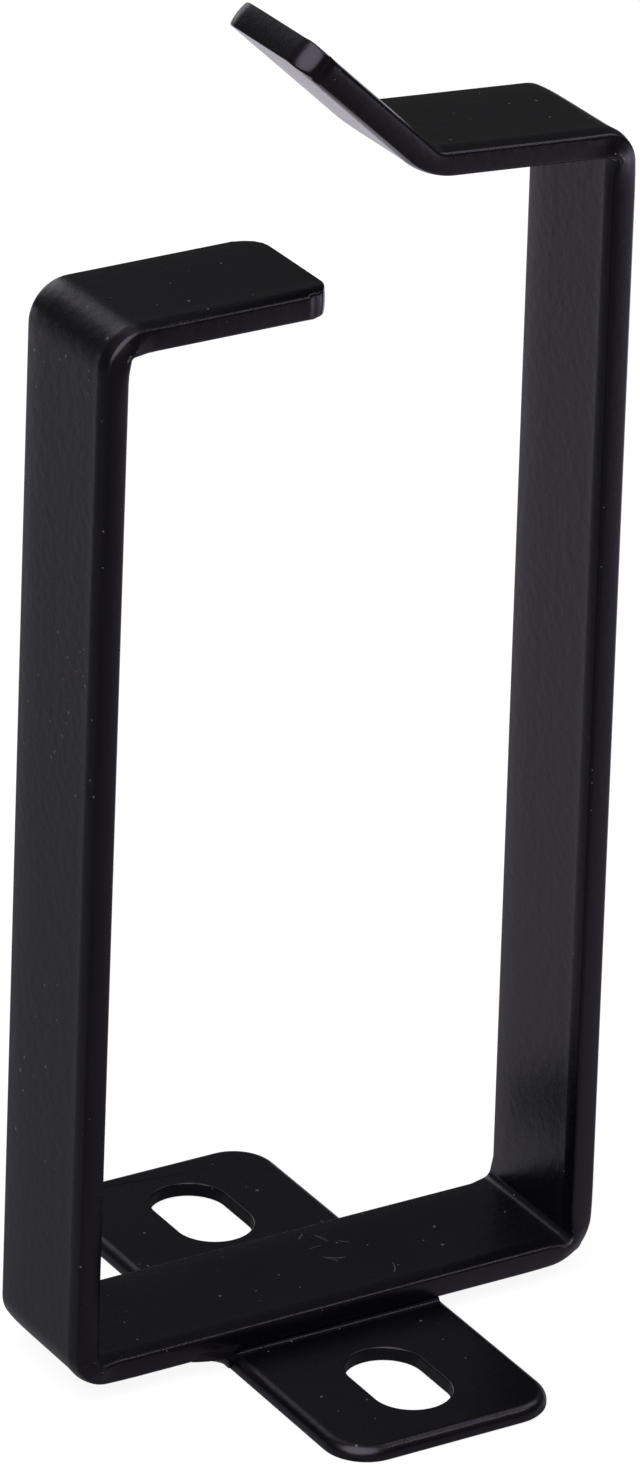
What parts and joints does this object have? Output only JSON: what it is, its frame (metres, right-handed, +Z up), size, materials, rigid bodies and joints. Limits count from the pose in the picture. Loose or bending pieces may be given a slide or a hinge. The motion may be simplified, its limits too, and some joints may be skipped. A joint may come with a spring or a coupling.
{
  "type": "rack d-ring cable hook",
  "caption": "Tall open ring of bent flat steel strip with a flared mouth, welded on a slotted base plate, for guiding cables beside a rack.",
  "frame": {"origin": "centre of the base plate's underside", "axes": "+Z up from the plate through the ring, +X along the lower bar towards the taller arm, +Y along the plate; the ring lies in the XZ plane"},
  "size_m": [0.0489, 0.05, 0.1133],
  "materials": {
    "strip_coat": "satin black powder coat on steel strip",
    "plate_coat": "satin black powder coat on punched steel sheet",
    "weld_coat": "satin black powder coat over a weld bead"
  },
  "bodies": {
    "root": {"hook_strip": "strip_coat", "base_plate": "plate_coat", "weld_left": "weld_coat", "weld_right": "weld_coat"}
  },
  "joints": []
}
